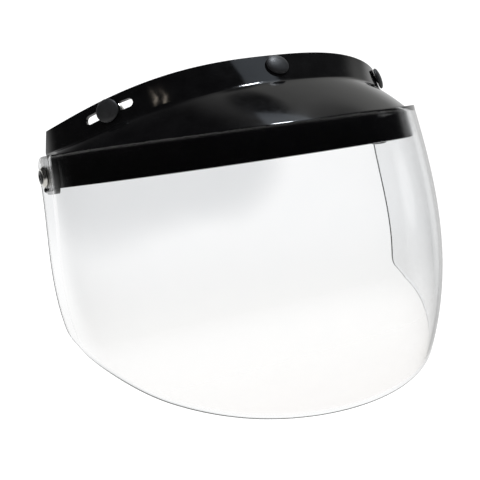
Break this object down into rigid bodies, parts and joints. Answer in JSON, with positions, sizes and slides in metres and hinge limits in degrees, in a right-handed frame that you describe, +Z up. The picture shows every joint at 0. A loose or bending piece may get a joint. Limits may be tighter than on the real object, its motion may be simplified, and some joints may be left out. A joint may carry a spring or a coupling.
{
  "type": "face shield",
  "caption": "Flip-up clear face shield on a glossy black brow frame with press studs for the brow of an open-face helmet.",
  "frame": {"origin": "centre of the rear face of the centre snap socket, where it meets the helmet's brow stud", "axes": "+X is the wearer's left, -Y is the front that the shield faces, +Z is up; the lens is shown closed"},
  "size_m": [0.2462, 0.1353, 0.1976],
  "materials": {
    "frame": "high-gloss black moulding",
    "lens": "clear polished polycarbonate sheet",
    "cap": "satin dark grey enamel",
    "nickel": "bright nickel plate",
    "black_steel": "blackened steel",
    "nylon": "natural nylon",
    "slider": "black acetal",
    "spring": "bright spring wire"
  },
  "bodies": {
    "frame": {"brow_frame": "frame", "centre_snap_cap": "cap", "centre_snap_socket": "nickel", "centre_snap_spring": "spring", "left_pivot_screw": "black_steel", "left_pivot_cup_washer": "nickel", "left_friction_washer": "nylon", "left_sleeve_nut": "nickel", "right_pivot_screw": "black_steel", "right_pivot_cup_washer": "nickel", "right_friction_washer": "nylon", "right_sleeve_nut": "nickel"},
    "lens": {"clear_lens": "lens", "left_stop_rivet": "black_steel", "right_stop_rivet": "black_steel"},
    "left_snap": {"left_snap_cap": "cap", "left_snap_slider": "slider", "left_snap_socket": "nickel", "left_snap_spring": "spring"},
    "right_snap": {"right_snap_cap": "cap", "right_snap_slider": "slider", "right_snap_socket": "nickel", "right_snap_spring": "spring"}
  },
  "joints": [
    {"name": "lens_flip", "type": "hinge", "parent": "frame", "child": "lens", "pos_m": [0, 0.06633, -0.03887], "axis": [-1, 0, 0], "range_deg": [0, 70]},
    {"name": "left_snap_travel", "type": "hinge", "parent": "frame", "child": "left_snap", "pos_m": [0.02226, 0.08917, -0.0302], "axis": [0.0011, 0.3342, 0.9425], "range_deg": [-7, 7]},
    {"name": "right_snap_travel", "type": "hinge", "parent": "frame", "child": "right_snap", "pos_m": [-0.02226, 0.08917, -0.0302], "axis": [0.0011, -0.3342, -0.9425], "range_deg": [-7, 7]}
  ]
}
